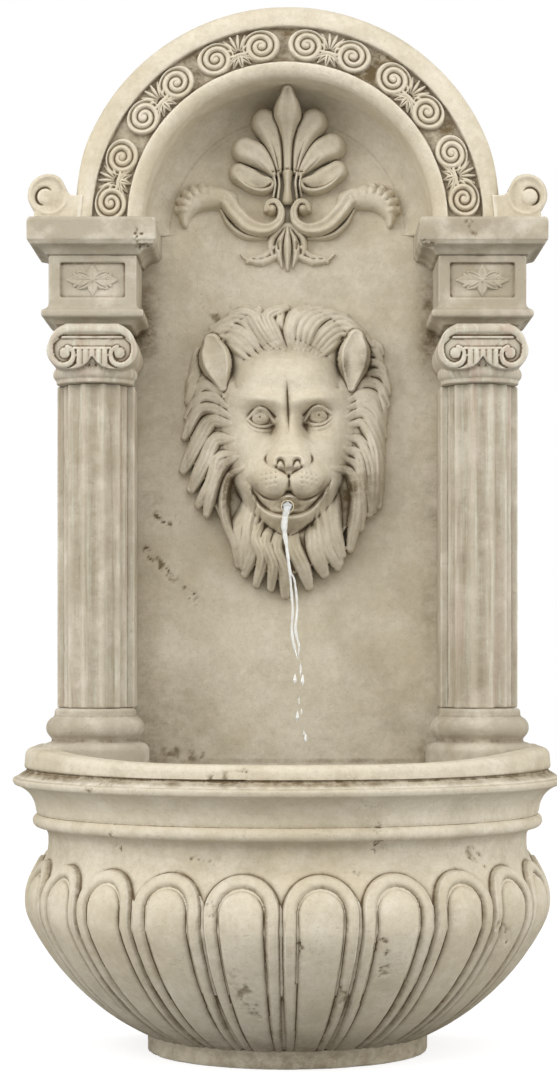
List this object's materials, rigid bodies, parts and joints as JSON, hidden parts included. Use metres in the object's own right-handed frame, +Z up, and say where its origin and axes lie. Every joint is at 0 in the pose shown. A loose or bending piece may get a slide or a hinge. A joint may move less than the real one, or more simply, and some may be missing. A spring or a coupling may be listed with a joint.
{
  "type": "wall fountain",
  "caption": "Garden wall fountain: gadrooned half-round basin, fluted pilasters and a shell-crowned arched niche, where a lion mask spouts water raised by a hidden pump.",
  "frame": {"origin": "on the foot's underside, at the centre of the basin's half circle, on the middle plane", "axes": "+X to the right seen from the front, +Y back into the wall, +Z up"},
  "size_m": [0.4188, 0.2833, 0.786],
  "materials": {
    "cast_stone": "matt, weathered",
    "spout_brass": "tarnished",
    "zinc_steel": "zinc plated",
    "fitting_plastic": "matt",
    "clear_hose": "clear, milky",
    "pump_plastic": "matt",
    "dial_plastic": "matt",
    "rotor_plastic": "matt",
    "shaft_ceramic": "polished",
    "rubber": "matt"
  },
  "bodies": {
    "fountain": {"acanthus_scroll_left": "cast_stone", "acanthus_scroll_right": "cast_stone", "arch": "cast_stone", "arch_scroll_left": "cast_stone", "arch_scroll_right": "cast_stone", "back_panel": "cast_stone", "basin": "cast_stone", "block_leaf_left": "cast_stone", "block_leaf_right": "cast_stone", "clip_screws": "zinc_steel", "column_base_left": "cast_stone", "column_base_right": "cast_stone", "column_capital_left": "cast_stone", "column_capital_right": "cast_stone", "column_shaft_left": "cast_stone", "column_shaft_right": "cast_stone", "cord_grommet": "rubber", "cornice_left": "cast_stone", "cornice_right": "cast_stone", "entablature_left": "cast_stone", "entablature_right": "cast_stone", "foot": "cast_stone", "frieze_ornaments": "cast_stone", "hanger_plate_left": "zinc_steel", "hanger_plate_right": "zinc_steel", "hanger_screws": "zinc_steel", "hanging_bud": "cast_stone", "hose_clamps": "zinc_steel", "hose_clips": "fitting_plastic", "hose_elbow": "fitting_plastic", "impeller_cover": "pump_plastic", "impeller_shaft": "shaft_ceramic", "joining_strap_left": "zinc_steel", "joining_strap_right": "zinc_steel", "lion_mask": "cast_stone", "palmette": "cast_stone", "pump_cord_gland": "rubber", "pump_housing": "pump_plastic", "spout_tube": "spout_brass", "strap_screws": "zinc_steel", "suction_cups": "rubber", "supply_hose": "clear_hose", "tie_rod_nuts": "zinc_steel", "tie_rod_washers": "zinc_steel", "tie_rods": "zinc_steel"},
    "impeller": {"impeller": "rotor_plastic"},
    "intake_cover": {"intake_cover": "pump_plastic"},
    "flow_dial": {"flow_dial": "dial_plastic"},
    "drain_plug": {"drain_plug": "rubber"}
  },
  "joints": [
    {"name": "impeller_spin", "type": "hinge", "parent": "fountain", "child": "impeller", "pos_m": [0, 0.015, 0.053], "axis": [0, 1, 0], "continuous": true},
    {"name": "intake_cover_pull", "type": "slide", "parent": "fountain", "child": "intake_cover", "axis": [0, -1, 0], "range_m": [0, 0.03]},
    {"name": "flow_dial_turn", "type": "hinge", "parent": "intake_cover", "child": "flow_dial", "pos_m": [0, -0.015, 0.053], "axis": [0, 1, 0], "range_deg": [0, 90]},
    {"name": "drain_plug_lift", "type": "slide", "parent": "fountain", "child": "drain_plug", "axis": [0, 0, 1], "range_m": [0, 0.03]}
  ]
}
